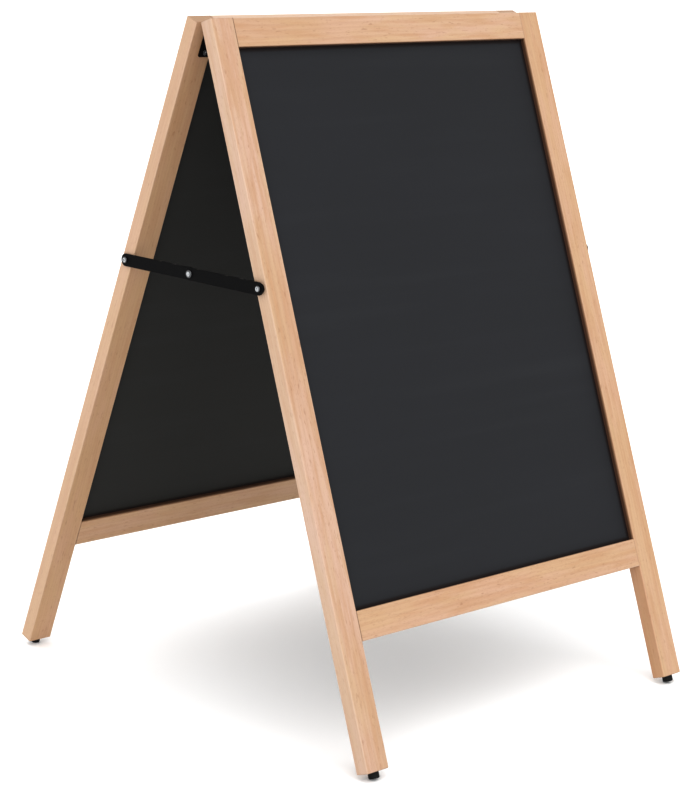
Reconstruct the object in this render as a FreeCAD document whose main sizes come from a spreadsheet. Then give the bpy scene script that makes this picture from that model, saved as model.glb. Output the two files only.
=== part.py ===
"""Free-standing wooden sandwich board: two equal chalkboard frames hinged at the top.

Each frame has two stiles that run past the bottom rail as legs, two rails dowelled between them, and a
thin black panel held in a groove. Two strap hinges join the inner faces of the stiles at the top. On each
side a pair of flat steel links, pivoted together at the middle, stops the frames from spreading.
A rubber foot is screwed under each leg.

Row frame: +X along the width, -Y towards the front frame, +Z up, origin on the floor under the middle.
Every frame piece is drawn in the frame's own axes: origin on the hinge pin's axis, X along the pin,
+Z up along the stiles, +Y from the frame towards the other one. The rear frame is the front one turned
half round about the vertical. Millimetres and degrees.
"""
import FreeCAD, Part
import math
import os

import Sketcher

SIZES = [
    # frames
    ("board_width", 550, "outside width across both stiles"),
    ("stile_length", 850, "stile from its top end to its lower end"),
    ("stile_face", 33, "face width of a stile"),
    ("rail_face", 34, "face width of a rail"),
    ("member_depth", 18, "front to back depth of stiles and rails"),
    ("leg_drop", 140, "stile left below the bottom rail"),
    ("arris", 1.2, "rounding of the wood's edges"),
    ("lean_angle", 20, "lean of each frame from the vertical when open"),
    # panels
    ("panel_thickness", 3, "writing panel"),
    ("groove_depth", 6, "depth of the groove that holds the panel"),
    ("panel_play", 0.15, "room on each face of the panel in its groove"),
    ("panel_gap", 1, "room between the panel's edge and the groove's bottom"),
    # dowels
    ("dowel_diameter", 6, "wooden dowel"),
    ("dowel_length", 38, "half in the stile and half in the rail"),
    ("dowel_wall", 3, "wood between a dowel and the rail's outer edge, and between the other and the groove"),
    ("dowel_play", 0.1, "room round a dowel"),
    ("dowel_end_gap", 1, "glue room past each end of a dowel"),
    ("dowel_bevel", 0.8, "bevel on a dowel's ends"),
    # hinges
    ("pin_diameter", 3.5, "hinge pin"),
    ("pin_play", 0.05, "running clearance round the pin"),
    ("pin_head", 4.8, "diameter of the pin's peened ends"),
    ("pin_head_height", 0.6, "how far a peened end stands out"),
    ("leaf_thickness", 1.6, "steel of the hinge leaves"),
    ("barrel_clearance", 0.15, "hinge barrel to the wood's inner face"),
    ("hinge_width", 17, "hinge along its pin"),
    ("hinge_margin", 0.5, "stile's inner edge to the hinge"),
    ("leaf_reach", 43, "pin's axis to a leaf's end"),
    ("leaf_corner", 2, "corner radius at a leaf's end"),
    ("knuckle_gap", 0.2, "room between neighbouring knuckles"),
    ("notch_room", 0.5, "room between a leaf and the other leaf's knuckle"),
    ("hinge_screw_spread", 9, "between the pair of screws"),
    ("hinge_screw_tip", 5.5, "leaf's end to the single screw"),
    ("hinge_screw_length", 14, "countersunk wood screw"),
    ("hinge_screw_diameter", 3.5, "countersunk wood screw"),
    ("hinge_screw_head", 6.4, "countersunk head"),
    # stays
    ("stay_drop", 307, "stile's top end to the stay's pivot"),
    ("link_width", 15, "flat steel link"),
    ("link_thickness", 1.6, "flat steel link"),
    ("link_gap", 0.3, "between the two links of a stay"),
    ("washer_thickness", 1, "washer between the inner link and the stile"),
    ("washer_diameter", 11, "washers and spacers"),
    ("pivot_diameter", 4, "shank of the screws that the links turn on"),
    ("pivot_play", 0.05, "running clearance in a link's eye"),
    ("pivot_head", 7.5, "head of a pivot screw"),
    ("pivot_head_height", 2.2, "head of a pivot screw"),
    ("pivot_screw_length", 22, "pivot screw, under its head"),
    ("rivet_diameter", 5, "shank of the middle rivet"),
    ("rivet_play", 0.05, "room round the middle rivet in a link's eye"),
    ("rivet_head", 9.5, "head of the middle rivet"),
    ("rivet_head_height", 1.8, "head of the middle rivet"),
    ("rivet_tail_height", 0.7, "flattened end of the middle rivet"),
    # feet
    ("foot_diameter", 12.5, "rubber foot"),
    ("foot_height", 7.5, "rubber foot below the leg"),
    ("foot_round", 1.2, "rounding of the foot's sole"),
    ("foot_recess", 6.4, "recess for the foot's screw"),
    ("foot_recess_depth", 3.5, "recess for the foot's screw"),
    ("foot_screw_head", 5.8, "pan head of the foot's screw"),
    ("foot_screw_head_height", 2, "pan head of the foot's screw"),
    ("foot_screw_diameter", 3, "foot's screw"),
    ("foot_screw_length", 18, "foot's screw under its head"),
    # shared by all screws
    ("screw_play", 0.05, "room round a screw in wood, rubber or steel"),
    ("screw_end_gap", 1, "pilot hole past a screw's point"),
    ("recess_arm", 0.9, "arm width of the cross recess"),
    ("recess_span", 3.2, "span of the cross recess"),
    ("recess_depth", 1, "depth of the cross recess"),
]

doc = FreeCAD.newDocument("sandwich_board")
V = FreeCAD.Vector
UP = V(0, 0, 1)
X_AXIS = V(1, 0, 0)
Y_AXIS = V(0, 1, 0)

sheet = doc.addObject("Spreadsheet::Sheet", "Sizes")
for row, (alias, value, note) in enumerate(SIZES, start=1):
    sheet.set(f"A{row}", note)
    sheet.set(f"B{row}", str(value))
    sheet.setAlias(f"B{row}", alias)
doc.recompute()


def size(alias):
    return float(sheet.get(alias))


# Places in a frame's own axes, as expressions on the sheet.
STANDOFF = "(Sizes.pin_diameter / 2 + Sizes.leaf_thickness + Sizes.barrel_clearance)"
MID_DEPTH = f"({STANDOFF} + Sizes.member_depth / 2)"
HALF_WIDTH = "(Sizes.board_width / 2)"
STILE_INNER = "(Sizes.board_width / 2 - Sizes.stile_face)"
TOP_RAIL_LOW = "(-Sizes.rail_face)"
BOTTOM_RAIL_LOW = "(Sizes.leg_drop - Sizes.stile_length)"
BOTTOM_RAIL_HIGH = f"({BOTTOM_RAIL_LOW} + Sizes.rail_face)"
GROOVE_WIDTH = "(Sizes.panel_thickness + 2 * Sizes.panel_play)"
PANEL_HOLD = "(Sizes.groove_depth - Sizes.panel_gap)"
BARREL_RADIUS = "(Sizes.pin_diameter / 2 + Sizes.leaf_thickness)"
HINGE_INNER = f"({STILE_INNER} + Sizes.hinge_margin)"
HINGE_OUTER = f"({HINGE_INNER} + Sizes.hinge_width)"
KNUCKLE = "(Sizes.hinge_width / 3)"
FIRST_DOWEL = "(Sizes.dowel_wall + Sizes.dowel_diameter / 2 + Sizes.dowel_play)"
SECOND_DOWEL = f"(Sizes.rail_face - Sizes.groove_depth - {FIRST_DOWEL})"
HINGE_SCREW_ROW = "((Sizes.groove_depth - Sizes.rail_face) / 2)"
LINK_PITCH = f"(Sizes.stay_drop * sin(Sizes.lean_angle) + {MID_DEPTH} * cos(Sizes.lean_angle))"
INNER_LINK = "Sizes.washer_thickness"
OUTER_LINK = "(Sizes.washer_thickness + Sizes.link_thickness + Sizes.link_gap)"

# The same places as numbers, for placements.
standoff = size("pin_diameter") / 2 + size("leaf_thickness") + size("barrel_clearance")
mid_depth = standoff + size("member_depth") / 2
half_width = size("board_width") / 2
hinge_middle = half_width - size("stile_face") + size("hinge_margin") + size("hinge_width") / 2
bottom_rail_low = size("leg_drop") - size("stile_length")
lean = math.radians(size("lean_angle"))
link_pitch = size("stay_drop") * math.sin(lean) + mid_depth * math.cos(lean)
inner_link = size("washer_thickness")
outer_link = size("washer_thickness") + size("link_thickness") + size("link_gap")

# The foot's rounded sole edge nearest the other frame is what touches the floor.
sole_arm = size("foot_diameter") / 2 - size("foot_round")
sole_drop = size("stile_length") + size("foot_height") - size("foot_round")
pin_height = (
    sole_drop * math.cos(lean) - (mid_depth - sole_arm) * math.sin(lean) + size("foot_round")
)
stay_height = pin_height + mid_depth * math.sin(lean) - size("stay_drop") * math.cos(lean)

AT_PIN = FreeCAD.Placement(V(0, 0, pin_height), FreeCAD.Rotation())
TILT = FreeCAD.Placement(V(0, 0, 0), FreeCAD.Rotation(X_AXIS, -size("lean_angle")))
TURN = FreeCAD.Placement(V(0, 0, 0), FreeCAD.Rotation(UP, 180))
FRAME_PLACE = {"front": AT_PIN * TILT, "rear": AT_PIN * TURN * TILT}
# A frame's own +X side is the board's right on the front frame and its left on the rear one.
SIDE_NAME = {"front": {1: "right", -1: "left"}, "rear": {1: "left", -1: "right"}}

sub_parts = []


def new_body(label, placement=None):
    """A body of its own; with a placement it is a sub-part, without one a master for copies."""
    body = doc.addObject("PartDesign::Body", label)
    body.Label = label
    if placement is not None:
        body.Placement = placement
        sub_parts.append(body)
    return body


def copies(label, master, placements):
    """A sub-part of several separate solids, each a copy of the master's shape."""
    doc.recompute()
    solids = []
    for placement in placements:
        solid = master.Shape.copy()
        solid.Placement = placement
        solids.append(solid)
    group = doc.addObject("Part::Feature", label)
    group.Label = label
    group.Shape = Part.makeCompound(solids)
    sub_parts.append(group)
    return group


def new_sketch(body, plane, offset="0"):
    """A sketch on one of the body's own origin planes, moved along the plane's normal."""
    sketch = body.newObject("Sketcher::SketchObject", "Sketch")
    support = [f for f in body.Origin.OriginFeatures if f.Role == plane][0]
    sketch.AttachmentSupport = (support, [""])
    sketch.MapMode = "FlatFace"
    sketch.setExpression("AttachmentOffset.Base.z", offset)
    return sketch


def fix_point(sketch, geometry, vertex, x, y):
    """Holds a point at two signed distances from the sketch's origin."""
    for kind, place in (("DistanceX", x), ("DistanceY", y)):
        index = sketch.addConstraint(Sketcher.Constraint(kind, -1, 1, geometry, vertex, 1.0))
        sketch.setExpression(f"Constraints[{index}]", place)


def add_polygon(sketch, corners):
    """A closed outline of straight edges; each corner is a pair of expressions."""
    count = len(corners)
    first = sketch.GeometryCount
    turn = [2 * math.pi * k / count for k in range(count + 1)]
    ring = [V(math.cos(a), math.sin(a), 0) for a in turn]
    for k in range(count):
        sketch.addGeometry(Part.LineSegment(ring[k], ring[k + 1]), False)
    for k, (x, y) in enumerate(corners):
        following = first + (k + 1) % count
        sketch.addConstraint(Sketcher.Constraint("Coincident", first + k, 2, following, 1))
        fix_point(sketch, first + k, 1, x, y)


def add_rectangle(sketch, left, right, low, high):
    add_polygon(sketch, [(left, low), (right, low), (right, high), (left, high)])


def add_circle(sketch, x, y, diameter):
    circle = sketch.addGeometry(Part.Circle(V(1, 1, 0), UP, 1), False)
    fix_point(sketch, circle, 3, x, y)
    index = sketch.addConstraint(Sketcher.Constraint("Diameter", circle, 2.0))
    sketch.setExpression(f"Constraints[{index}]", diameter)


def add_slot(sketch, pitch, radius):
    """A round-ended strip from the sketch's origin along its x axis."""
    start = Part.ArcOfCircle(Part.Circle(V(0, 0, 0), UP, 1), math.pi / 2, 3 * math.pi / 2)
    end = Part.ArcOfCircle(Part.Circle(V(9, 0, 0), UP, 1), -math.pi / 2, math.pi / 2)
    for geometry in (
        start,
        Part.LineSegment(V(0, -1, 0), V(9, -1, 0)),
        end,
        Part.LineSegment(V(9, 1, 0), V(0, 1, 0)),
    ):
        sketch.addGeometry(geometry, False)
    for here, there in ((0, 1), (1, 2), (2, 3), (3, 0)):
        sketch.addConstraint(Sketcher.Constraint("Tangent", here, 2, there, 1))
    sketch.addConstraint(Sketcher.Constraint("Equal", 0, 2))
    fix_point(sketch, 0, 3, "0", "0")
    fix_point(sketch, 2, 3, pitch, "0")
    index = sketch.addConstraint(Sketcher.Constraint("Radius", 0, 1.0))
    sketch.setExpression(f"Constraints[{index}]", radius)


def add_feature(body, kind, sketch, length=None, along_normal=None):
    """Pad or Pocket of a sketch; along_normal says whether it runs the way the sketch's normal points."""
    feature = body.newObject(f"PartDesign::{kind}", kind)
    feature.Profile = sketch
    feature.setExpression("Length", length)
    feature.Reversed = along_normal if kind == "Pocket" else not along_normal
    doc.recompute()
    return feature


def revolve(body, corners):
    """A solid of revolution about Z from an outline of (radius, height) corners."""
    sketch = new_sketch(body, "XZ_Plane")
    add_polygon(sketch, corners)
    feature = body.newObject("PartDesign::Revolution", "Revolution")
    feature.Profile = sketch
    feature.ReferenceAxis = (sketch, ["V_Axis"])
    feature.Angle = 360
    doc.recompute()
    return feature


def dress(body, kind, base, edges, radius):
    """Fillet or Chamfer of the base feature's edges that the test picks."""
    names = [f"Edge{n}" for n, edge in enumerate(base.Shape.Edges, start=1) if edges(edge)]
    feature = body.newObject(f"PartDesign::{kind}", kind)
    feature.Base = (base, names)
    feature.setExpression("Radius" if kind == "Fillet" else "Size", radius)
    doc.recompute()
    return feature


def runs_along(axis):
    return lambda edge: edge.BoundBox.DiagonalLength > 0 and abs(
        edge.tangentAt(edge.FirstParameter).dot(axis)
    ) > 0.999


def circle_at_height(height):
    """Picks full circles that lie flat at a height."""
    return lambda edge: (
        isinstance(edge.Curve, Part.Circle)
        and abs(edge.BoundBox.ZMax - height) < 1e-4
        and abs(edge.BoundBox.ZMin - height) < 1e-4
    )


def times(side, place):
    """A place mirrored to the frame's -X side where side is -1."""
    return f"({side} * {place})"


def dowel_heights():
    """The dowels' heights in a frame, as expressions: two in the top rail and two in the bottom one."""
    top = [f"(-{FIRST_DOWEL})", f"(-{SECOND_DOWEL})"]
    bottom = [f"({BOTTOM_RAIL_LOW} + {FIRST_DOWEL})", f"({BOTTOM_RAIL_LOW} + {SECOND_DOWEL})"]
    return {"top": top, "bottom": bottom}


def drill_dowels(body, x, heights, towards_plus_x):
    sketch = new_sketch(body, "YZ_Plane", x)
    for height in heights:
        add_circle(
            sketch, f"(-{MID_DEPTH})", height, "Sizes.dowel_diameter + 2 * Sizes.dowel_play"
        )
    depth = "Sizes.dowel_length / 2 + Sizes.dowel_end_gap"
    add_feature(body, "Pocket", sketch, depth, along_normal=towards_plus_x)


# ---- Hinge screw places, shared by the stiles, the leaves and the screws ----


def hinge_screw_places(side):
    """(x, z) of a leaf's three screws as expressions: a pair between the dowels and one near the end."""
    middle = f"({HINGE_OUTER} - Sizes.hinge_width / 2)"
    spread = "Sizes.hinge_screw_spread / 2"
    row = HINGE_SCREW_ROW
    tip = "(Sizes.hinge_screw_tip - Sizes.leaf_reach)"
    return [
        (times(side, f"({middle} - {spread})"), row),
        (times(side, f"({middle} + {spread})"), row),
        (times(side, middle), tip),
    ]


def hinge_screw_points(side):
    """The same three places as numbers."""
    spread = size("hinge_screw_spread") / 2
    row = (size("groove_depth") - size("rail_face")) / 2
    tip = size("hinge_screw_tip") - size("leaf_reach")
    return [
        (side * (hinge_middle - spread), row),
        (side * (hinge_middle + spread), row),
        (side * hinge_middle, tip),
    ]


# ---- Stiles: one long bar each, grooved for the panel and drilled for its fittings ----


def make_stile(frame, side):
    body = new_body(f"{frame}_{SIDE_NAME[frame][side]}_stile", FRAME_PLACE[frame])
    face = new_sketch(body, "XZ_Plane", STANDOFF)
    outer = times(side, HALF_WIDTH)
    inner = times(side, STILE_INNER)
    add_rectangle(face, outer, inner, "(-Sizes.stile_length)", "0")
    bar = add_feature(body, "Pad", face, "Sizes.member_depth", along_normal=True)
    dress(body, "Fillet", bar, lambda edge: True, "Sizes.arris")

    groove = new_sketch(body, "XZ_Plane", f"{MID_DEPTH} - {GROOVE_WIDTH} / 2")
    groove_bottom = times(side, f"({STILE_INNER} + Sizes.groove_depth)")
    groove_mouth = times(side, f"({STILE_INNER} - Sizes.arris)")
    groove_low = f"{BOTTOM_RAIL_HIGH} - Sizes.groove_depth"
    groove_high = f"{TOP_RAIL_LOW} + Sizes.groove_depth"
    add_rectangle(groove, groove_mouth, groove_bottom, groove_low, groove_high)
    add_feature(body, "Pocket", groove, GROOVE_WIDTH, along_normal=True)

    heights = dowel_heights()
    drill_dowels(body, inner, heights["top"] + heights["bottom"], side > 0)

    pilots = new_sketch(body, "XZ_Plane", STANDOFF)
    for x, z in hinge_screw_places(side):
        add_circle(pilots, x, z, "Sizes.hinge_screw_diameter + 2 * Sizes.screw_play")
    pilot_depth = "Sizes.hinge_screw_length - Sizes.leaf_thickness + Sizes.screw_end_gap"
    add_feature(body, "Pocket", pilots, pilot_depth, along_normal=True)

    pivot = new_sketch(body, "YZ_Plane", outer)
    add_circle(
        pivot,
        f"(-{MID_DEPTH})",
        "(-Sizes.stay_drop)",
        "Sizes.pivot_diameter + 2 * Sizes.screw_play",
    )
    pivot_depth = (
        "Sizes.pivot_screw_length - Sizes.link_thickness - Sizes.washer_thickness"
        " + Sizes.screw_end_gap"
    )
    add_feature(body, "Pocket", pivot, pivot_depth, along_normal=side < 0)

    foot = new_sketch(body, "XY_Plane", "(-Sizes.stile_length)")
    add_circle(
        foot,
        times(side, f"({HALF_WIDTH} - Sizes.stile_face / 2)"),
        f"(-{MID_DEPTH})",
        "Sizes.foot_screw_diameter + 2 * Sizes.screw_play",
    )
    foot_depth = (
        "Sizes.foot_screw_length - Sizes.foot_height + Sizes.foot_recess_depth + Sizes.screw_end_gap"
    )
    add_feature(body, "Pocket", foot, foot_depth, along_normal=True)


# ---- Rails: square-ended bars between the stiles, grooved on the edge that faces the panel ----


def make_rail(frame, which):
    body = new_body(f"{frame}_{which}_rail", FRAME_PLACE[frame])
    low, high = {
        "top": (TOP_RAIL_LOW, "0"),
        "bottom": (BOTTOM_RAIL_LOW, BOTTOM_RAIL_HIGH),
    }[which]
    left = times(-1, STILE_INNER)
    face = new_sketch(body, "XZ_Plane", STANDOFF)
    add_rectangle(face, left, STILE_INNER, low, high)
    bar = add_feature(body, "Pad", face, "Sizes.member_depth", along_normal=True)
    dress(body, "Fillet", bar, runs_along(X_AXIS), "Sizes.arris")

    groove = new_sketch(body, "XZ_Plane", f"{MID_DEPTH} - {GROOVE_WIDTH} / 2")
    if which == "top":
        add_rectangle(groove, left, STILE_INNER, f"{low} - Sizes.arris", f"{low} + Sizes.groove_depth")
    else:
        add_rectangle(groove, left, STILE_INNER, f"{high} - Sizes.groove_depth", f"{high} + Sizes.arris")
    add_feature(body, "Pocket", groove, GROOVE_WIDTH, along_normal=True)

    heights = dowel_heights()[which]
    drill_dowels(body, left, heights, True)
    drill_dowels(body, STILE_INNER, heights, False)


# ---- Panels: thin board, black on both faces, loose in its groove ----


def make_panel(frame):
    body = new_body(f"{frame}_chalk_panel", FRAME_PLACE[frame])
    face = new_sketch(body, "XZ_Plane", f"{MID_DEPTH} - Sizes.panel_thickness / 2")
    edge = f"({STILE_INNER} + {PANEL_HOLD})"
    low = f"{BOTTOM_RAIL_HIGH} - {PANEL_HOLD}"
    high = f"{TOP_RAIL_LOW} + {PANEL_HOLD}"
    add_rectangle(face, times(-1, edge), edge, low, high)
    add_feature(body, "Pad", face, "Sizes.panel_thickness", along_normal=True)


# ---- Hinges: two leaves of curled strip steel round one pin ----


def make_leaf(frame, side):
    """The front leaf has the two outer knuckles and the rear leaf the middle one."""
    body = new_body(f"{SIDE_NAME[frame][side]}_hinge_{frame}_leaf", FRAME_PLACE[frame])
    plate = new_sketch(body, "XZ_Plane", STANDOFF)
    outer, inner = times(side, HINGE_OUTER), times(side, HINGE_INNER)
    add_rectangle(plate, outer, inner, "(-Sizes.leaf_reach)", "0")
    flat = add_feature(body, "Pad", plate, "Sizes.leaf_thickness", along_normal=False)

    end = -size("leaf_reach")
    dress(
        body,
        "Fillet",
        flat,
        lambda edge: runs_along(Y_AXIS)(edge) and abs(edge.BoundBox.ZMax - end) < 1e-4,
        "Sizes.leaf_corner",
    )

    def across(step, gap):
        """A place along the pin, counted in knuckles from the hinge's outer end, plus so many gaps."""
        return times(side, f"({HINGE_OUTER} - {step} * {KNUCKLE} + {gap} * Sizes.knuckle_gap)")

    if frame == "front":
        own = [(across(0, 0), across(1, 0)), (across(2, 0), across(3, 0))]
        others = [(across(1, 0), across(2, 0))]
    else:
        own = [(across(1, -1), across(2, 1))]
        others = [(across(0, 1), across(1, -1)), (across(2, 1), across(3, -1))]

    notch = new_sketch(body, "XZ_Plane", STANDOFF)
    for start, stop in others:
        add_rectangle(notch, start, stop, f"(-{BARREL_RADIUS} - Sizes.notch_room)", "Sizes.arris")
    add_feature(body, "Pocket", notch, "Sizes.leaf_thickness", along_normal=False)

    for start, stop in own:
        barrel = new_sketch(body, "YZ_Plane", start)
        add_circle(barrel, "0", "0", f"2 * {BARREL_RADIUS}")
        length = f"abs({start} - {stop})"
        add_feature(body, "Pad", barrel, length, along_normal=side < 0)
    bore = new_sketch(body, "YZ_Plane", outer)
    bore_play = "0" if frame == "front" else "2 * Sizes.pin_play"
    add_circle(bore, "0", "0", f"Sizes.pin_diameter + {bore_play}")
    add_feature(body, "Pocket", bore, "Sizes.hinge_width", along_normal=side < 0)

    holes = new_sketch(body, "XZ_Plane", STANDOFF)
    for x, z in hinge_screw_places(side):
        add_circle(holes, x, z, "Sizes.hinge_screw_diameter + 2 * Sizes.screw_play")
    drilled = add_feature(body, "Pocket", holes, "Sizes.leaf_thickness", along_normal=False)
    exposed = size("leaf_thickness") - standoff
    hole_radius = size("hinge_screw_diameter") / 2 + size("screw_play")

    def countersunk(edge):
        return (
            isinstance(edge.Curve, Part.Circle)
            and abs(edge.Curve.Radius - hole_radius) < 1e-4
            and abs(edge.BoundBox.YMin - exposed) < 1e-4
        )

    sink = "(Sizes.hinge_screw_head - Sizes.hinge_screw_diameter) / 2"
    dress(body, "Chamfer", drilled, countersunk, sink)


def make_hinge_pins():
    """The pins are pressed into the front leaves and peened over at both ends."""
    master = new_body("hinge_pin_master")
    half = "Sizes.hinge_width / 2"
    pin = "Sizes.pin_diameter / 2"
    head = "Sizes.pin_head / 2"
    ledge = f"({half} + Sizes.pin_head_height)"
    corners = [
        ("0", f"(-{ledge})"),
        (pin, f"(-{ledge})"),
        (head, f"(-{half})"),
        (pin, f"(-{half})"),
        (pin, half),
        (head, half),
        (pin, ledge),
        ("0", ledge),
    ]
    revolve(master, corners)
    lie_down = FreeCAD.Rotation(Y_AXIS, 90)
    for side in (-1, 1):
        place = FRAME_PLACE["front"] * FreeCAD.Placement(V(side * hinge_middle, 0, 0), lie_down)
        copies(f"{SIDE_NAME['front'][side]}_hinge_pin", master, [place])


# ---- Screws ----


def cross_recess(body, top, base):
    """A cross cut into a screw's head from its top."""
    sketch = new_sketch(body, "XY_Plane", top)
    arm, reach = "Sizes.recess_arm / 2", "Sizes.recess_span / 2"
    outline = []
    for turn_x, turn_y in ((1, 1), (-1, 1), (-1, -1), (1, -1)):
        corner = [(reach, arm), (arm, arm), (arm, reach)]
        if turn_x * turn_y < 0:
            corner.reverse()
        outline += [(f"({turn_x} * {x})", f"({turn_y} * {y})") for x, y in corner]
    add_polygon(sketch, outline)
    add_feature(body, "Pocket", sketch, "Sizes.recess_depth", along_normal=False)


def screw_outline(head, diameter, length, head_height):
    """Half the outline of a pan-head wood screw whose head sits on height 0 and whose point is below."""
    shank, rim = f"{diameter} / 2", f"{head} / 2"
    return [
        ("0", head_height),
        (rim, head_height),
        (rim, "0"),
        (shank, "0"),
        (shank, f"({diameter} - {length})"),
        ("0", f"(-{length})"),
    ]


def make_hinge_screws():
    """Countersunk screws, heads flush with the leaves."""
    master = new_body("hinge_screw_master")
    shank, rim = "Sizes.hinge_screw_diameter / 2", "Sizes.hinge_screw_head / 2"
    corners = [
        ("0", "0"),
        (rim, "0"),
        (shank, f"({shank} - {rim})"),
        (shank, "(Sizes.hinge_screw_diameter - Sizes.hinge_screw_length)"),
        ("0", "(-Sizes.hinge_screw_length)"),
    ]
    body = revolve(master, corners)
    cross_recess(master, "0", body)
    facing_in = FreeCAD.Rotation(X_AXIS, -90)
    exposed = size("leaf_thickness") - standoff
    for frame in ("front", "rear"):
        places = []
        for side in (-1, 1):
            for x, z in hinge_screw_points(side):
                places.append(FRAME_PLACE[frame] * FreeCAD.Placement(V(x, exposed, z), facing_in))
        copies(f"{frame}_hinge_screws", master, places)


def make_pivot_screw_master():
    """The pan-head screw that a link turns on."""
    master = new_body("pivot_screw_master")
    height = "Sizes.pivot_head_height"
    corners = screw_outline(
        "Sizes.pivot_head", "Sizes.pivot_diameter", "Sizes.pivot_screw_length", height
    )
    turned = revolve(master, corners)
    top = size("pivot_head_height")
    rounded = dress(master, "Fillet", turned, circle_at_height(top), f"{height} * 0.7")
    cross_recess(master, height, rounded)
    return master


def outward(side):
    """Turns a piece's +Z to point out of the stile's side."""
    return FreeCAD.Rotation(Y_AXIS, 90 * side)


# ---- Stays: two links on each side, one next to its stile and one outside it. Both stays are the
# same assembly, so the front link is outside on the left and the rear link is outside on the right ----


def make_link_master(name):
    """A link in its own axes: its stile's pivot at the origin, the rivet along +Y, thickness along -X."""
    master = new_body(name)
    strip = new_sketch(master, "YZ_Plane")
    add_slot(strip, LINK_PITCH, "Sizes.link_width / 2")
    bar = add_feature(master, "Pad", strip, "Sizes.link_thickness", along_normal=False)
    dress(master, "Fillet", bar, lambda edge: not runs_along(X_AXIS)(edge), "Sizes.link_thickness * 0.2")
    eyes = new_sketch(master, "YZ_Plane")
    add_circle(eyes, "0", "0", "Sizes.pivot_diameter + 2 * Sizes.pivot_play")
    add_circle(eyes, LINK_PITCH, "0", "Sizes.rivet_diameter + 2 * Sizes.rivet_play")
    add_feature(master, "Pocket", eyes, "Sizes.link_thickness", along_normal=False)
    return master


def make_stays():
    link = make_link_master("link_master")

    head = new_body("rivet_head_master")
    shank, rim = "Sizes.rivet_diameter / 2", "Sizes.rivet_head / 2"
    body = revolve(
        head,
        [
            ("0", "Sizes.rivet_head_height"),
            (rim, "Sizes.rivet_head_height"),
            (rim, "0"),
            (shank, "0"),
            (shank, "(-Sizes.link_thickness)"),
            ("0", "(-Sizes.link_thickness)"),
        ],
    )
    top = size("rivet_head_height")
    dress(head, "Fillet", body, circle_at_height(top), "Sizes.rivet_head_height * 0.8")

    tail = new_body("rivet_tail_master")
    revolve(
        tail,
        [
            ("0", "Sizes.link_thickness"),
            (shank, "Sizes.link_thickness"),
            (shank, "0"),
            (rim + " * 0.8", "0"),
            (rim + " * 0.7", "(-Sizes.rivet_tail_height)"),
            ("0", "(-Sizes.rivet_tail_height)"),
        ],
    )

    turns = {
        ("front", -1): FreeCAD.Rotation(),
        ("front", 1): FreeCAD.Rotation(Y_AXIS, 180),
        ("rear", -1): FreeCAD.Rotation(X_AXIS, 180),
        ("rear", 1): FreeCAD.Rotation(UP, 180),
    }
    for side, name, outer_frame in ((-1, "left", "front"), (1, "right", "rear")):
        for frame, towards in (("front", -1), ("rear", 1)):
            out = outer_link if frame == outer_frame else inner_link
            pivot = V(side * (half_width + out), towards * link_pitch, stay_height)
            place = FreeCAD.Placement(pivot, turns[(frame, side)])
            copies(f"{name}_stay_{frame}_link", link, [place])
        outer_face = V(side * (half_width + outer_link + size("link_thickness")), 0, stay_height)
        inner_face = V(side * (half_width + inner_link), 0, stay_height)
        copies(f"{name}_stay_rivet_head", head, [FreeCAD.Placement(outer_face, outward(side))])
        copies(f"{name}_stay_rivet_tail", tail, [FreeCAD.Placement(inner_face, outward(side))])


def make_washer_master(name, thickness):
    """A flat ring on height 0, round a pivot screw."""
    master = new_body(name)
    ring = new_sketch(master, "XY_Plane")
    add_circle(ring, "0", "0", "Sizes.washer_diameter")
    add_circle(ring, "0", "0", "Sizes.pivot_diameter + 2 * Sizes.screw_play")
    add_feature(master, "Pad", ring, thickness, along_normal=True)
    return master


def make_stay_fixings():
    """A spacer or a washer between each link and its stile, and the pivot screws through the links."""
    spacer = make_washer_master("spacer_master", OUTER_LINK)
    washer = make_washer_master("washer_master", INNER_LINK)
    screw = make_pivot_screw_master()
    for frame, place in FRAME_PLACE.items():
        screws = []
        for side, noun, ring, out in (
            (-1, "spacer", spacer, outer_link),
            (1, "washer", washer, inner_link),
        ):
            seat = V(side * half_width, -mid_depth, -size("stay_drop"))
            on_link = seat + V(side * (out + size("link_thickness")), 0, 0)
            ring_place = place * FreeCAD.Placement(seat, outward(side))
            copies(f"{frame}_stay_{noun}", ring, [ring_place])
            screws.append(place * FreeCAD.Placement(on_link, outward(side)))
        copies(f"{frame}_stay_screws", screw, screws)


# ---- Dowels ----


def make_dowels():
    master = new_body("dowel_master")
    radius, bevel = "Sizes.dowel_diameter / 2", "Sizes.dowel_bevel"
    half = "Sizes.dowel_length / 2"
    revolve(
        master,
        [
            ("0", f"(-{half})"),
            (f"{radius} - {bevel}", f"(-{half})"),
            (radius, f"({bevel} - {half})"),
            (radius, f"({half} - {bevel})"),
            (f"{radius} - {bevel}", half),
            ("0", half),
        ],
    )
    lie_down = FreeCAD.Rotation(Y_AXIS, 90)
    joint = half_width - size("stile_face")
    first = size("dowel_wall") + size("dowel_diameter") / 2 + size("dowel_play")
    second = size("rail_face") - size("groove_depth") - first
    for frame in ("front", "rear"):
        for rail, heights in (
            ("top", (-first, -second)),
            ("bottom", (bottom_rail_low + first, bottom_rail_low + second)),
        ):
            places = []
            for side in (-1, 1):
                for height in heights:
                    centre = FreeCAD.Placement(V(side * joint, -mid_depth, height), lie_down)
                    places.append(FRAME_PLACE[frame] * centre)
            copies(f"{frame}_{rail}_rail_dowels", master, places)


# ---- Feet: a rubber button under each leg, held by a screw sunk in its sole ----


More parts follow.
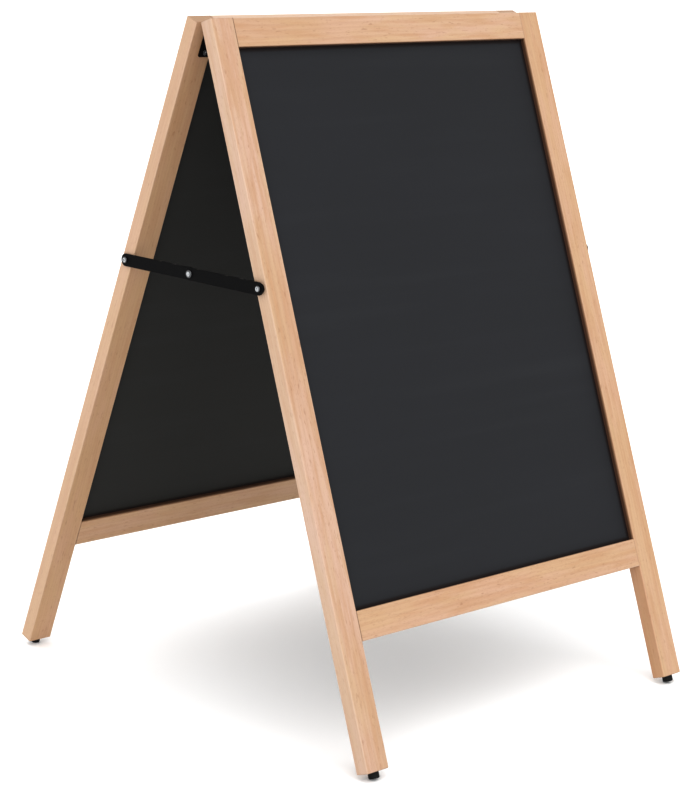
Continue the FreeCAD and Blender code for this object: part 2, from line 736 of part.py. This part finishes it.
def make_feet():
    button = new_body("foot_master")
    rim, hole = "Sizes.foot_diameter / 2", "Sizes.foot_screw_diameter / 2 + Sizes.screw_play"
    recess = "Sizes.foot_recess / 2"
    corners = [
        (hole, "0"),
        (rim, "0"),
        (rim, "(-Sizes.foot_height)"),
        (recess, "(-Sizes.foot_height)"),
        (recess, "(Sizes.foot_recess_depth - Sizes.foot_height)"),
        (hole, "(Sizes.foot_recess_depth - Sizes.foot_height)"),
    ]
    turned = revolve(button, corners)
    sole = -size("foot_height")

    def sole_edge(edge):
        return circle_at_height(sole)(edge) and edge.Curve.Radius > size("foot_recess") / 2 + 1e-4

    dress(button, "Fillet", turned, sole_edge, "Sizes.foot_round")

    screw = new_body("foot_screw_master")
    height = "Sizes.foot_screw_head_height"
    outline = screw_outline(
        "Sizes.foot_screw_head", "Sizes.foot_screw_diameter", "Sizes.foot_screw_length", height
    )
    pan = revolve(screw, outline)
    top = size("foot_screw_head_height")
    rounded = dress(screw, "Fillet", pan, circle_at_height(top), f"{height} * 0.5")
    cross_recess(screw, height, rounded)

    leg_middle = half_width - size("stile_face") / 2
    seat_drop = size("stile_length") + size("foot_height") - size("foot_recess_depth")
    for frame in ("front", "rear"):
        screws = []
        for side in (-1, 1):
            under_leg = V(side * leg_middle, -mid_depth, -size("stile_length"))
            place = FRAME_PLACE[frame] * FreeCAD.Placement(under_leg, FreeCAD.Rotation())
            copies(f"{frame}_{SIDE_NAME[frame][side]}_foot", button, [place])
            seat = V(side * leg_middle, -mid_depth, -seat_drop)
            head_down = FreeCAD.Placement(seat, FreeCAD.Rotation(X_AXIS, 180))
            screws.append(FRAME_PLACE[frame] * head_down)
        copies(f"{frame}_foot_screws", screw, screws)


# ---- The whole board ----

for frame_name in ("front", "rear"):
    for side_sign in (-1, 1):
        make_stile(frame_name, side_sign)
        make_leaf(frame_name, side_sign)
    make_rail(frame_name, "top")
    make_rail(frame_name, "bottom")
    make_panel(frame_name)
make_hinge_pins()
make_hinge_screws()
make_stays()
make_stay_fixings()
make_dowels()
make_feet()
doc.recompute()

for item in doc.Objects:
    for state in ("Invalid", "Error"):
        if state in item.State:
            raise RuntimeError(f"{item.Label} is {state}: {item.State}")
os.makedirs("parts", exist_ok=True)
for item in sub_parts:
    shape = item.Shape
    if shape.isNull() or not shape.isValid() or not shape.Solids:
        raise RuntimeError(f"{item.Label} has no valid solid")
    shape.exportStep(f"parts/{item.Label}.step")
    print(f"{item.Label}: {len(shape.Solids)} solid(s), {shape.Volume:.1f} mm3")
print(f"pin height {pin_height:.3f}, stay height {stay_height:.3f}, link pitch {link_pitch:.3f}")
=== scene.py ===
import math

import bpy
from mathutils import Euler, Matrix, Vector


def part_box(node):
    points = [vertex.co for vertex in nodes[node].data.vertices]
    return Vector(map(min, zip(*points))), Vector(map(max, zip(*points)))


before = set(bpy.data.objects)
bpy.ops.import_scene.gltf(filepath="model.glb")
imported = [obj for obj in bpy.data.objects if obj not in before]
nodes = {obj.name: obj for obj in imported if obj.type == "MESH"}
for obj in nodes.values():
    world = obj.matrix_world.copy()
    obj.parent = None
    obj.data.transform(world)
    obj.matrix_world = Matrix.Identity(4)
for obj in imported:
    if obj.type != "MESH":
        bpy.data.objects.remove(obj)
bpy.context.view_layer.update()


# The stiles: four planed beech uprights, 33 by 18 mm and 850 mm long, the grain up each.
# Under a thin satin lacquer show rings, short ray flecks and the pinkish patches of steamed
# The sides facing the panels carry painted shade, darkest brown in the recess beside the panel,
# and the outer sides a paler painted sheen.
LEAN = math.radians(20)
FRAME_TURN = {
    "front": Matrix.Rotation(-LEAN, 3, "X"),
    "rear": Matrix.Rotation(math.pi, 3, "Z") @ Matrix.Rotation(-LEAN, 3, "X"),
}
STILE_FACE = 0.033
STILE_LENGTH = 0.850
BAR_DEPTH = 0.018
RAIL_FACE = 0.034
LEG_DROP = 0.140
RING_PITCH = 0.0034
GRAIN_RELIEF = 0.00012
FEATHER = 0.0002

STILE_HALF = (STILE_FACE / 2, BAR_DEPTH / 2, STILE_LENGTH / 2)
STILE_SIGHT = (LEG_DROP + RAIL_FACE - STILE_LENGTH / 2, STILE_LENGTH / 2 - RAIL_FACE)
# For each stile: its frame, the side of it that the panel is on, the start of its noise,
# where the heart of its tree was, and how warm its colour is.
STILE_CUTS = {
    "front_left_stile": ("front", 1, 3.1, (0.060, 0.118), 0.00),
    "front_right_stile": ("front", -1, 17.4, (-0.092, 0.085), 0.80),
    "rear_left_stile": ("rear", -1, 29.7, (0.081, 0.074), 1.50),
    "rear_right_stile": ("rear", 1, 41.2, (-0.048, 0.127), 0.60),
}


def shade(red, green, blue):
    """A paint-chart colour, 0 to 255, as the linear colour that a shader takes."""
    linear = []
    for level in (red, green, blue):
        level = level / 255
        linear.append(level / 12.92 if level <= 0.04045 else ((level + 0.055) / 1.055) ** 2.4)
    return (*linear, 1.0)


CLOUD = shade(170, 136, 103)
FLAME = shade(167, 128, 95)
LATE_WOOD = shade(151, 117, 88)
FIBRE = shade(153, 120, 92)
FLECK = shade(131, 92, 65)
RAY = shade(136, 97, 69)
# The next three colours are painted light and shade on the bars' sides: a sheen on the outer
# side, shade on the side facing the panel, and deeper shade in the recess beside it.
SIDE_SHEEN = shade(181, 162, 148)
INNER_SIDE_SHADE = shade(150, 104, 68)
PAINTED_RECESS_SHADE = shade(52, 27, 18)
WORN_ARRIS = shade(183, 160, 140)
END_GRAIN = shade(118, 95, 77)


class Value:
    """A socket in one finish. Arithmetic on it adds Math nodes to that finish."""

    def __init__(self, tree, socket=None):
        self.tree = tree
        self.socket = socket

    def node(self, kind, settings, inputs, output=0):
        """Adds a node with its settings, fills or links its sockets, and gives one output."""
        made = self.tree.nodes.new("ShaderNode" + kind)
        for name, setting in settings.items():
            setattr(made, name, setting)
        for name, given in inputs.items():
            if isinstance(given, Value):
                self.tree.links.new(given.socket, made.inputs[name])
            else:
                made.inputs[name].default_value = given
        return Value(self.tree, made.outputs[output] if made.outputs else None)

    def maths(self, operation, *operands):
        return self.node("Math", {"operation": operation}, dict(enumerate(operands)))

    def __add__(self, other):
        return self.maths("ADD", self, other)

    __radd__ = __add__

    def __sub__(self, other):
        return self.maths("SUBTRACT", self, other)

    def __rsub__(self, other):
        return self.maths("SUBTRACT", other, self)

    def __mul__(self, other):
        return self.maths("MULTIPLY", self, other)

    __rmul__ = __mul__

    def __truediv__(self, other):
        return self.maths("DIVIDE", self, other)

    def __pow__(self, other):
        return self.maths("POWER", self, other)

    def __abs__(self):
        return self.maths("ABSOLUTE", self)

    def axis(self, letter):
        return self.node("SeparateXYZ", {}, {"Vector": self}, letter)

    def rise(self, low, high):
        """0 below low, 1 above high, and a smooth step between them."""
        limits = {"Value": self, "From Min": low, "From Max": high}
        return self.node("MapRange", {"interpolation_type": "SMOOTHSTEP"}, limits)

    def noise(self, stretch, seed, detail=2.0, roughness=0.5):
        """Noise on this position: stretch is its blotches per metre along each axis."""
        placed = self.node(
            "Mapping", {}, {"Vector": self, "Scale": stretch, "Location": (seed, -seed, 2 * seed)}
        )
        made = {"Vector": placed, "Scale": 1.0, "Detail": detail, "Roughness": roughness}
        return self.node("TexNoise", {}, made, "Fac")

    def tint(self, colour, over):
        """The colour laid over another one where this mask is 1."""
        return self.node("Mix", {"data_type": "RGBA"}, {0: self, 6: over, 7: colour}, 2)


def length(a, b):
    """How far out a point is, from its distances along two axes."""
    return (a * a + b * b) ** 0.5


def new_finish(name):
    """A new material and the start of its nodes."""
    material = bpy.data.materials.new(name)
    material.use_nodes = True
    material.node_tree.nodes.clear()
    return material, Value(material.node_tree)


def own_axes(start, centre, turn):
    """A point in a piece's own axes: its middle is the origin."""
    position = start.node("TexCoord", {}, {}, "Object")
    return position.node(
        "Mapping", {"vector_type": "TEXTURE"},
        {"Vector": position, "Location": centre, "Rotation": turn.to_euler()},
    )


def close_finish(start, surface, height, depth):
    """Gives the finish its surface shader, with a bump of that depth in metres."""
    bump = start.node("Bump", {}, {"Height": height, "Strength": 1.0, "Distance": depth})
    shader = start.node("BsdfPrincipled", {}, {**surface, "Normal": bump})
    start.node("OutputMaterial", {}, {"Surface": shader})


def middle(node):
    """The middle of a CAD node's box."""
    low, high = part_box(node)
    return (low + high) / 2


def put_on(material, *names):
    """Puts the material on CAD nodes, in place of the plain one."""
    for name in names:
        for place in nodes[name].material_slots:
            place.material = material


def beech(name, centre, turn, half, seed, pith, warmth, sight=None):
    """Lacquered beech cut from one board: the grain is along its own z axis.

    sight is the side of the bar that faces the panel, 1 or -1, and the ends of the opening on z.
    """
    material, start = new_finish(name)
    point = own_axes(start, centre, turn)
    x, y, z = point.axis("X"), point.axis("Y"), point.axis("Z")
    pink = shade(183 - 3 * warmth, 154 - 7 * warmth, 136 - 14 * warmth)
    tan = shade(181 - 3 * warmth, 154 - 7 * warmth, 128 - 13 * warmth)

    wander = (point.noise((6, 6, 1.1), seed) - 0.5) * 0.024
    crowd = (point.noise((48, 48, 1.6), seed + 5.0, 1.0) - 0.5) * 0.0065
    rings = (length(x - pith[0], y - pith[1]) + wander + crowd) / RING_PITCH
    ring = rings.maths("FRACT", rings)
    clouds = point.noise((10, 10, 4), seed + 19.0)
    late = ring.rise(0.25, 0.88) * (1 - ring.rise(0.88, 1.0)) * (clouds * 1.3)

    patches = point.noise((46, 46, 9), seed + 11.0, 3.0, 0.6)
    flames = point.noise((150, 150, 13), seed + 23.0, 3.0, 0.6)
    fibres = point.noise((640, 640, 12), seed + 2.0, 4.0, 0.6)
    flecks = point.noise((1300, 1300, 230), seed + 7.0, 1.0).rise(0.60, 0.72)
    rays = point.noise((480, 480, 105), seed + 31.0, 1.0).rise(0.66, 0.76)

    colour = patches.rise(0.36, 0.64).tint(pink, tan)
    colour = (clouds.rise(0.40, 0.72) * 0.45).tint(CLOUD, colour)
    colour = (flames.rise(0.42, 0.68) * 0.55).tint(FLAME, colour)
    colour = (late * 0.24).tint(LATE_WOOD, colour)
    colour = ((fibres - 0.35) * 0.42).tint(FIBRE, colour)
    colour = (flecks * 0.28).tint(FLECK, colour)
    colour = (rays * 0.42).tint(RAY, colour)

    arris_gap = (half[0] - abs(x)) + (half[1] - abs(y))
    rubbed = (1 - arris_gap.rise(0.0006, 0.0030)) * clouds.rise(0.30, 0.62)
    colour = (rubbed * 0.16).tint(WORN_ARRIS, colour)
    if sight is not None:
        inner, foot, head = sight
        facing = x * inner
        outside = 1 - facing.rise(0.0003 - half[0], 0.0014 - half[0])
        # Painted highlight: the outer side faces are tinted paler, a painted sheen of the light
        # from the left.
        colour = (outside * 0.30).tint(SIDE_SHEEN, colour)
        inside = facing.rise(half[0] - 0.0009, half[0] - FEATHER)
        # Painted shade: the side facing the panel is tinted darker and warmer, as shade lit by
        # light bounced off the wood.
        colour = (inside * 0.40).tint(INNER_SIDE_SHADE, colour)
        beside = z.rise(foot - FEATHER, foot) * (1 - z.rise(head, head + FEATHER))
        # Painted shade in the recess: the sight side is darkened brown beside the panel, fading
        # towards the front and back faces.
        shade_in_recess = inside * beside * (1 - abs(y).rise(0.0045, 0.0088) * 0.85)
        colour = (shade_in_recess * 0.90).tint(PAINTED_RECESS_SHADE, colour)
    end = 1 - (half[2] - abs(z)).rise(0.0001, 0.0012)
    colour = (end * 0.45).tint(END_GRAIN, colour)

    gloss = 0.50 + (fibres - 0.5) * 0.22 - rubbed * 0.08 + flecks * 0.05 + end * 0.15
    height = fibres * 0.5 - flecks * 0.35 - late * 0.2
    surface = {"Base Color": colour, "Roughness": gloss, "Specular IOR Level": 0.35}
    close_finish(start, surface, height, GRAIN_RELIEF)
    return material


for name, (side, inner, seed, pith, warmth) in STILE_CUTS.items():
    finish = beech("beech_" + name, middle(name), FRAME_TURN[side], STILE_HALF, seed, pith,
                   warmth, (inner, *STILE_SIGHT))
    put_on(finish, name)


# The rails: two beech bars across each frame, butted and dowelled between the stiles.
# Their grain runs across the board, so they are the same stock laid on its side.
RAIL_LENGTH = 0.484
RAIL_TURN = Matrix.Rotation(math.pi / 2, 3, "Y")
RAIL_HALF = (RAIL_FACE / 2, BAR_DEPTH / 2, RAIL_LENGTH / 2)
RAIL_CUTS = {
    "front_top_rail": ("front", 1, 53.3, (0.070, 0.104), 0.40),
    "front_bottom_rail": ("front", -1, 61.9, (-0.064, 0.092), 0.75),
    "rear_top_rail": ("rear", 1, 73.5, (0.055, -0.110), 0.60),
    "rear_bottom_rail": ("rear", -1, 89.6, (-0.083, -0.079), 1.10),
}
for name, (side, inner, seed, pith, warmth) in RAIL_CUTS.items():
    turn = FRAME_TURN[side] @ RAIL_TURN
    finish = beech("beech_" + name, middle(name), turn, RAIL_HALF, seed, pith, warmth,
                   (inner, -RAIL_HALF[2], RAIL_HALF[2]))
    put_on(finish, name)


# The dowels: pegs turned from the same beech, glued unseen into the rails and stiles.
# The four of each rail share one finish. It is laid out on a block larger than the pegs,
# so it rubs none of their edges.
DOWEL_HALF = (0.030, 0.030, 0.300)
DOWEL_PITH = (0.09, 0.06)
for side in ("front", "rear"):
    for rail, seed in (("top", 101.0), ("bottom", 113.0)):
        name = side + "_" + rail + "_rail_dowels"
        turn = FRAME_TURN[side] @ RAIL_TURN
        put_on(beech("peg_" + name, middle(name), turn, DOWEL_HALF, seed, DOWEL_PITH, 0.0), name)


# The chalk panels: 3 mm hardboard held in grooves in the bars, with matt blackboard paint
# on both sides. The roller leaves a fine tooth, and wiping leaves a faint grey haze of old
# chalk. A dark band of painted shadow runs round each panel's edge beside the frame.
SIGHT_HALF = (RAIL_LENGTH / 2, (STILE_SIGHT[1] - STILE_SIGHT[0]) / 2)
SHADOW_BAND = (0.0018, 0.0060)
PAINTED_EDGE_SHADOW = shade(22, 11, 8)
CHALK_DUST = shade(48, 50, 53)
PAINT_RELIEF = 0.00010
# For each panel: the start of its noise, and its paint where it is chalky and where clean.
# The rear panel's colours are lighter and warmer: painted light bounced onto it from the wood.
PAINTS_AND_BOUNCE = {
    "front": (131.0, shade(37, 38, 42), shade(33, 34, 37)),
    # Painted light: the same paint as the front, made lighter and warmer for the bounce off the
    # wood.
    "rear": (149.0, shade(40, 40, 38), shade(36, 36, 34)),
}


def chalkboard(name, centre, turn, seed, chalky, clean):
    """Matt blackboard paint with a fine tooth, a wiped haze and a painted shadow round its edge.
    """
    material, start = new_finish(name)
    point = own_axes(start, centre, turn)
    side_gap = SIGHT_HALF[0] - abs(point.axis("X"))
    end_gap = SIGHT_HALF[1] - abs(point.axis("Z"))
    edge_shadow = 1 - side_gap.maths("MINIMUM", side_gap, end_gap).rise(*SHADOW_BAND)
    haze = point.noise((3.2, 3.2, 9.0), seed, 4.0, 0.62)
    wipes = point.noise((2.0, 2.0, 38.0), seed + 4.0, 3.0)
    tooth = point.noise((1500, 1500, 1500), seed + 9.0, 2.0, 0.6)
    roller = point.noise((160, 160, 160), seed + 13.0)
    colour = (haze.rise(0.35, 0.75) * 0.40).tint(chalky, clean)
    colour = (wipes.rise(0.48, 0.80) * 0.16).tint(CHALK_DUST, colour)
    colour = ((tooth - 0.4) * 0.25).tint(CHALK_DUST, colour)
    # Painted shadow: a dark band round the panel's edge, where the frame overhangs it.
    colour = (edge_shadow * 0.85).tint(PAINTED_EDGE_SHADOW, colour)
    gloss = 0.70 + (haze - 0.5) * 0.12 + (tooth - 0.5) * 0.10
    surface = {"Base Color": colour, "Roughness": gloss, "Specular IOR Level": 0.20}
    close_finish(start, surface, tooth * 0.6 + roller * 0.9, PAINT_RELIEF)
    return material


for side, (seed, chalky, clean) in PAINTS_AND_BOUNCE.items():
    name = side + "_chalk_panel"
    finish = chalkboard("paint_" + name, middle(name), FRAME_TURN[side], seed, chalky, clean)
    put_on(finish, name)


# The hinge leaves: two butt hinges of black stoved steel, one inside each pair of stiles.
# Each has two leaves rolled round a pin peened at both ends, held by countersunk screws.
ENAMEL = shade(5, 5, 6)
DUSTY_ENAMEL = shade(9, 9, 9)
BARE_STEEL = shade(80, 78, 75)
ENAMEL_RELIEF = 0.00004
UNTURNED = Matrix.Identity(3)


def black_enamel(name, centre, turn, seed, rim=None):
    """Satin black stoving on steel.

    rim is the half width and the half pitch of a round-ended strip, which is rubbed there.
    """
    material, start = new_finish(name)
    point = own_axes(start, centre, turn)
    peel = point.noise((1100, 1100, 1100), seed)
    smears = point.noise((60, 60, 60), seed + 3.0, 3.0, 0.6)
    colour = smears.rise(0.3, 0.75).tint(DUSTY_ENAMEL, ENAMEL)
    gloss = 0.44 + (smears - 0.5) * 0.22 + (peel - 0.5) * 0.10
    surface = {"Roughness": gloss, "Specular IOR Level": 0.05}
    if rim is not None:
        half_width, half_pitch = rim
        beyond = abs(point.axis("Z")) - half_pitch
        reach = length(point.axis("Y"), beyond.maths("MAXIMUM", beyond, 0.0))
        bare = reach.rise(half_width - 0.0007, half_width - 0.0001) * smears.rise(0.52, 0.66)
        colour = (bare * 0.6).tint(BARE_STEEL, colour)
        surface["Metallic"] = bare * 0.6
    surface["Base Color"] = colour
    close_finish(start, surface, peel, ENAMEL_RELIEF)
    return material


for side in ("left", "right"):
    for half in ("front", "rear"):
        name = side + "_hinge_" + half + "_leaf"
        put_on(black_enamel("enamel_" + name, middle(name), FRAME_TURN[half], 7.0), name)
    name = side + "_hinge_pin"
    put_on(black_enamel("enamel_" + name, middle(name), UNTURNED, 12.0), name)


# The screws and rivets: zinc-plated steel, bright with a little milky bloom.
# Hinge, foot and stay screws and the rivet that joins each pair of links are plated alike.
# The rims of the stay screws and the rivets are painted dark, a painted reflection of the black
# links round them.
ORIGIN = Vector((0, 0, 0))
STAY_HEIGHT = 0.5191
STAY_REACH = 0.11675
HEAD_RIM = (0.0021, 0.0034)
PAINTED_RIM_REFLECTION = shade(16, 16, 17)
BLOOM = shade(152, 155, 158)
BRIGHT_ZINC = shade(184, 186, 188)
PLATING_RELIEF = 0.00002


def bright_zinc(name, seed, head=None):
    """Bright zinc plating with smears in its polish. A head at that y has its rim painted dark, a
    painted reflection.
    """
    material, start = new_finish(name)
    point = own_axes(start, ORIGIN, UNTURNED)
    bloom = point.noise((420, 420, 420), seed, 3.0, 0.6)
    scratches = point.noise((2600, 2600, 300), seed + 6.0, 2.0, 0.6)
    colour = bloom.rise(0.35, 0.75).tint(BLOOM, BRIGHT_ZINC)
    if head is not None:
        rim = length(point.axis("Y") - head, point.axis("Z") - STAY_HEIGHT).rise(*HEAD_RIM)
        # Painted reflection: the head's rim is darkened as if it mirrored the black link.
        colour = (rim * 0.80).tint(PAINTED_RIM_REFLECTION, colour)
    gloss = 0.24 + (bloom - 0.4) * 0.30 + (scratches - 0.5) * 0.12
    surface = {"Base Color": colour, "Roughness": gloss, "Metallic": 1.0}
    close_finish(start, surface, scratches, PLATING_RELIEF)
    return material


plating = bright_zinc("bright_zinc_plating", 21.0)
for side in ("front", "rear"):
    put_on(plating, side + "_hinge_screws", side + "_foot_screws")
for name, head in (("front_stay_screws", -STAY_REACH), ("rear_stay_screws", STAY_REACH)):
    put_on(bright_zinc("zinc_" + name, 21.0, head), name)
rivet_plating = bright_zinc("zinc_rivets", 25.0, 0.0)
for side in ("left", "right"):
    put_on(rivet_plating, side + "_stay_rivet_head", side + "_stay_rivet_tail")


# The stays: two black steel links on each side, riveted together at the middle.
# Each link is a round-ended strip that turns on a screw in its stile. The outer link stands
# off on a spacer and the inner one on a washer.
LINK_WIDTH = 0.015
LINK_PITCH = 0.1168
LINK_RIM = (LINK_WIDTH / 2, LINK_PITCH / 2)
LINK_TURN = Matrix.Rotation(math.pi / 2, 3, "X")
for side in ("left", "right"):
    for half in ("front", "rear"):
        name = side + "_stay_" + half + "_link"
        put_on(black_enamel("enamel_" + name, middle(name), LINK_TURN, 31.0, LINK_RIM), name)
rings = black_enamel("enamel_spacers", ORIGIN, UNTURNED, 37.0)
for half in ("front", "rear"):
    put_on(rings, half + "_stay_spacer", half + "_stay_washer")


# The feet: moulded black rubber buttons screwed into the end of each stile.
# The rubber is dull, with the fine grain of its mould and a little floor dust.
RUBBER = shade(14, 14, 14)
DUSTY_RUBBER = shade(40, 37, 34)
MOULD_RELIEF = 0.00005


def moulded_rubber(name):
    """Dull black rubber with a fine grain and a trace of dust."""
    material, start = new_finish(name)
    point = own_axes(start, ORIGIN, UNTURNED)
    grain = point.noise((2200, 2200, 2200), 43.0, 2.0, 0.6)
    dust = point.noise((260, 260, 260), 47.0, 3.0, 0.6)
    colour = (dust.rise(0.50, 0.80) * 0.5).tint(DUSTY_RUBBER, RUBBER)
    gloss = 0.72 + (grain - 0.5) * 0.20
    surface = {"Base Color": colour, "Roughness": gloss, "Specular IOR Level": 0.20}
    close_finish(start, surface, grain, MOULD_RELIEF)
    return material


rubber = moulded_rubber("moulded_rubber")
for side in ("front", "rear"):
    put_on(rubber, side + "_left_foot", side + "_right_foot")


# The studio: a plain white floor under an even white sky. A broad key light stands high at
# the front left, a low one reaches in under the frames from the left, and a weaker one
# lifts the back. Each light is its strength, its spread, and its tilt and bearing.
SKY = 1.0
LIGHTS = {
    "key_light": (2.1, 70, 36, -40),
    "fill_light": (0.75, 30, 77, -52),
    "back_light": (0.9, 70, 50, 150),
}
FLOOR_SIZE = 120.0
FLOOR_DROP = 0.0002
FLOOR_WHITE = (0.9, 0.9, 0.9, 1.0)
MIDTONE = 0.833

bpy.ops.object.select_all(action="DESELECT")
bpy.ops.mesh.primitive_plane_add(size=FLOOR_SIZE, location=(0, 0, -FLOOR_DROP))
floor = bpy.context.object
floor.name = "studio_floor"
floor_paint, floor_start = new_finish("floor_paint")
floor_surface = {"Base Color": FLOOR_WHITE, "Roughness": 0.9, "Specular IOR Level": 0.1}
close_finish(floor_start, floor_surface, 0.0, 0.0001)
floor.data.materials.append(floor_paint)

world = bpy.data.worlds.new("studio_sky")
world.use_nodes = True
world.node_tree.nodes["Background"].inputs["Color"].default_value = (1.0, 1.0, 1.0, 1.0)
world.node_tree.nodes["Background"].inputs["Strength"].default_value = SKY
bpy.context.scene.world = world

for name, (strength, spread, tilt, bearing) in LIGHTS.items():
    aim = (math.radians(tilt), 0, math.radians(bearing))
    bpy.ops.object.light_add(type="SUN", rotation=aim)
    light = bpy.context.object
    light.name = name
    light.data.energy = strength
    light.data.angle = math.radians(spread)

bpy.context.scene.view_settings.view_transform = "Standard"
bpy.context.scene.view_settings.gamma = MIDTONE


# The camera: a long lens a little higher than the board, off its front left corner and
# looking slightly down.
CAMERA_PLACE = (-2.0507, -2.0419, 0.9689)
AZIMUTH = math.radians(-44.8209)
ELEVATION = math.radians(9.9475)
ROLL = math.radians(2.1239)
LENS = 108.066
SHIFT = -0.125

level = Euler((math.pi / 2 - ELEVATION, 0, AZIMUTH)).to_matrix()
aim = level @ Matrix.Rotation(ROLL, 3, "Z")
bpy.ops.object.camera_add(location=CAMERA_PLACE, rotation=aim.to_euler())
camera = bpy.context.object
camera.name = "camera"
camera.data.lens = LENS
camera.data.shift_y = SHIFT
bpy.context.scene.camera = camera
